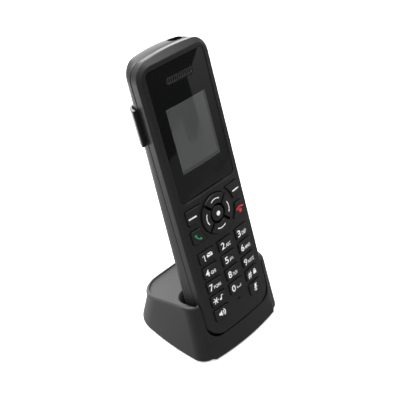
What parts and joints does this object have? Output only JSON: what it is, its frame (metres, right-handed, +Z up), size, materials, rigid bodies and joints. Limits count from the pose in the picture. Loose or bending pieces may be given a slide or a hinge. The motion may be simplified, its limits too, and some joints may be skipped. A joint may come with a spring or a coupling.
{
  "type": "cordless phone with charging cradle",
  "caption": "Slim cordless telephone handset with a display and push-button keypad, standing leaned back in a wedge-shaped charging cradle.",
  "frame": {"origin": "on the table under the middle of the whole object's bounding box", "axes": "+X to the right as the keypad is read, +Y towards the back, +Z up"},
  "size_m": [0.0718, 0.0748, 0.1694],
  "materials": {
    "cradle_plastic": "fine matt moulded texture",
    "base_plastic": "matt",
    "rubber": "matt",
    "screw_steel": "zinc plated",
    "ballast_steel": "plain stamped",
    "circuit_board": "solder resist",
    "plated_steel": "tin plated",
    "gold_plate": "gold plated",
    "front_plastic": "fine matt moulded texture",
    "lens": "polished",
    "display_glass": "unlit display",
    "foam": "foam",
    "grille_plastic": "matt",
    "silicone": "matt",
    "socket_plastic": "satin",
    "speaker_frame": "matt",
    "back_plastic": "fine matt moulded texture",
    "cell_wrap": "shrink wrap",
    "door_plastic": "fine matt moulded texture",
    "clip_plastic": "satin",
    "key_plastic": "satin with white print"
  },
  "bodies": {
    "cradle": {"cradle_shell": "cradle_plastic", "cradle_base_plate": "base_plastic", "cradle_feet": "rubber", "cradle_screws": "screw_steel", "cradle_ballast": "ballast_steel", "charge_board": "circuit_board", "power_inlet": "plated_steel", "pin_carrier": "base_plastic", "pin_springs": "plated_steel"},
    "handset": {"front_shell": "front_plastic", "display_lens": "lens", "display_module": "display_glass", "display_frame": "foam", "earpiece_grille": "grille_plastic", "earpiece_speaker": "plated_steel", "keypad_mat": "silicone", "main_board": "circuit_board", "shield_can": "plated_steel", "microphone": "plated_steel", "headset_jack": "socket_plastic", "loudspeaker": "speaker_frame", "back_shell": "back_plastic", "battery_cells": "cell_wrap", "battery_contacts": "plated_steel", "charge_contacts": "gold_plate", "shell_screws": "screw_steel"},
    "battery_door": {"battery_door": "door_plastic"},
    "belt_clip": {"belt_clip": "clip_plastic"},
    "charge_pin_left": {"charge_pin_left": "gold_plate"},
    "charge_pin_right": {"charge_pin_right": "gold_plate"},
    "key_1": {"key_1": "key_plastic"},
    "key_2": {"key_2": "key_plastic"},
    "key_3": {"key_3": "key_plastic"},
    "key_4": {"key_4": "key_plastic"},
    "key_5": {"key_5": "key_plastic"},
    "key_6": {"key_6": "key_plastic"},
    "key_7": {"key_7": "key_plastic"},
    "key_8": {"key_8": "key_plastic"},
    "key_9": {"key_9": "key_plastic"},
    "key_star": {"key_star": "key_plastic"},
    "key_0": {"key_0": "key_plastic"},
    "key_hash": {"key_hash": "key_plastic"},
    "speaker_key": {"speaker_key": "key_plastic"},
    "mute_key": {"mute_key": "key_plastic"},
    "soft_key_left": {"soft_key_left": "key_plastic"},
    "soft_key_right": {"soft_key_right": "key_plastic"},
    "talk_key": {"talk_key": "key_plastic"},
    "end_key": {"end_key": "key_plastic"},
    "nav_up": {"nav_up": "key_plastic"},
    "nav_down": {"nav_down": "key_plastic"},
    "nav_left": {"nav_left": "key_plastic"},
    "nav_right": {"nav_right": "key_plastic"},
    "nav_centre": {"nav_centre": "key_plastic"}
  },
  "joints": [
    {"name": "handset_lift", "type": "slide", "parent": "cradle", "child": "handset", "axis": [0, 0.3256, 0.9455], "range_m": [0, 0.045]},
    {"name": "battery_door_swing", "type": "hinge", "parent": "handset", "child": "battery_door", "pos_m": [0, -0.0027, 0.03666], "axis": [-1, 0, 0], "range_deg": [0, 60]},
    {"name": "belt_clip_pull", "type": "slide", "parent": "handset", "child": "belt_clip", "axis": [0, 0.9455, -0.3256], "range_m": [0, 0.03]},
    {"name": "charge_pin_left_press", "type": "slide", "parent": "cradle", "child": "charge_pin_left", "axis": [0, 0.3256, 0.9455], "range_m": [-0.001, 0], "stiffness_N_per_m": 300},
    {"name": "charge_pin_right_press", "type": "slide", "parent": "cradle", "child": "charge_pin_right", "axis": [0, 0.3256, 0.9455], "range_m": [-0.001, 0], "stiffness_N_per_m": 300},
    {"name": "key_1_press", "type": "slide", "parent": "handset", "child": "key_1", "axis": [0, -0.9455, 0.3256], "range_m": [-0.0004, 0], "stiffness_N_per_m": 800},
    {"name": "key_2_press", "type": "slide", "parent": "handset", "child": "key_2", "axis": [0, -0.9455, 0.3256], "range_m": [-0.0004, 0], "stiffness_N_per_m": 800},
    {"name": "key_3_press", "type": "slide", "parent": "handset", "child": "key_3", "axis": [0, -0.9455, 0.3256], "range_m": [-0.0004, 0], "stiffness_N_per_m": 800},
    {"name": "key_4_press", "type": "slide", "parent": "handset", "child": "key_4", "axis": [0, -0.9455, 0.3256], "range_m": [-0.0004, 0], "stiffness_N_per_m": 800},
    {"name": "key_5_press", "type": "slide", "parent": "handset", "child": "key_5", "axis": [0, -0.9455, 0.3256], "range_m": [-0.0004, 0], "stiffness_N_per_m": 800},
    {"name": "key_6_press", "type": "slide", "parent": "handset", "child": "key_6", "axis": [0, -0.9455, 0.3256], "range_m": [-0.0004, 0], "stiffness_N_per_m": 800},
    {"name": "key_7_press", "type": "slide", "parent": "handset", "child": "key_7", "axis": [0, -0.9455, 0.3256], "range_m": [-0.0004, 0], "stiffness_N_per_m": 800},
    {"name": "key_8_press", "type": "slide", "parent": "handset", "child": "key_8", "axis": [0, -0.9455, 0.3256], "range_m": [-0.0004, 0], "stiffness_N_per_m": 800},
    {"name": "key_9_press", "type": "slide", "parent": "handset", "child": "key_9", "axis": [0, -0.9455, 0.3256], "range_m": [-0.0004, 0], "stiffness_N_per_m": 800},
    {"name": "key_star_press", "type": "slide", "parent": "handset", "child": "key_star", "axis": [0, -0.9455, 0.3256], "range_m": [-0.0004, 0], "stiffness_N_per_m": 800},
    {"name": "key_0_press", "type": "slide", "parent": "handset", "child": "key_0", "axis": [0, -0.9455, 0.3256], "range_m": [-0.0004, 0], "stiffness_N_per_m": 800},
    {"name": "key_hash_press", "type": "slide", "parent": "handset", "child": "key_hash", "axis": [0, -0.9455, 0.3256], "range_m": [-0.0004, 0], "stiffness_N_per_m": 800},
    {"name": "speaker_key_press", "type": "slide", "parent": "handset", "child": "speaker_key", "axis": [0, -0.9455, 0.3256], "range_m": [-0.0004, 0], "stiffness_N_per_m": 800},
    {"name": "mute_key_press", "type": "slide", "parent": "handset", "child": "mute_key", "axis": [0, -0.9455, 0.3256], "range_m": [-0.0004, 0], "stiffness_N_per_m": 800},
    {"name": "soft_key_left_press", "type": "slide", "parent": "handset", "child": "soft_key_left", "axis": [0, -0.9455, 0.3256], "range_m": [-0.0004, 0], "stiffness_N_per_m": 800},
    {"name": "soft_key_right_press", "type": "slide", "parent": "handset", "child": "soft_key_right", "axis": [0, -0.9455, 0.3256], "range_m": [-0.0004, 0], "stiffness_N_per_m": 800},
    {"name": "talk_key_press", "type": "slide", "parent": "handset", "child": "talk_key", "axis": [0, -0.9455, 0.3256], "range_m": [-0.0004, 0], "stiffness_N_per_m": 800},
    {"name": "end_key_press", "type": "slide", "parent": "handset", "child": "end_key", "axis": [0, -0.9455, 0.3256], "range_m": [-0.0004, 0], "stiffness_N_per_m": 800},
    {"name": "nav_up_press", "type": "slide", "parent": "handset", "child": "nav_up", "axis": [0, -0.9455, 0.3256], "range_m": [-0.0004, 0], "stiffness_N_per_m": 800},
    {"name": "nav_down_press", "type": "slide", "parent": "handset", "child": "nav_down", "axis": [0, -0.9455, 0.3256], "range_m": [-0.0004, 0], "stiffness_N_per_m": 800},
    {"name": "nav_left_press", "type": "slide", "parent": "handset", "child": "nav_left", "axis": [0, -0.9455, 0.3256], "range_m": [-0.0004, 0], "stiffness_N_per_m": 800},
    {"name": "nav_right_press", "type": "slide", "parent": "handset", "child": "nav_right", "axis": [0, -0.9455, 0.3256], "range_m": [-0.0004, 0], "stiffness_N_per_m": 800},
    {"name": "nav_centre_press", "type": "slide", "parent": "handset", "child": "nav_centre", "axis": [0, -0.9455, 0.3256], "range_m": [-0.0004, 0], "stiffness_N_per_m": 800}
  ]
}
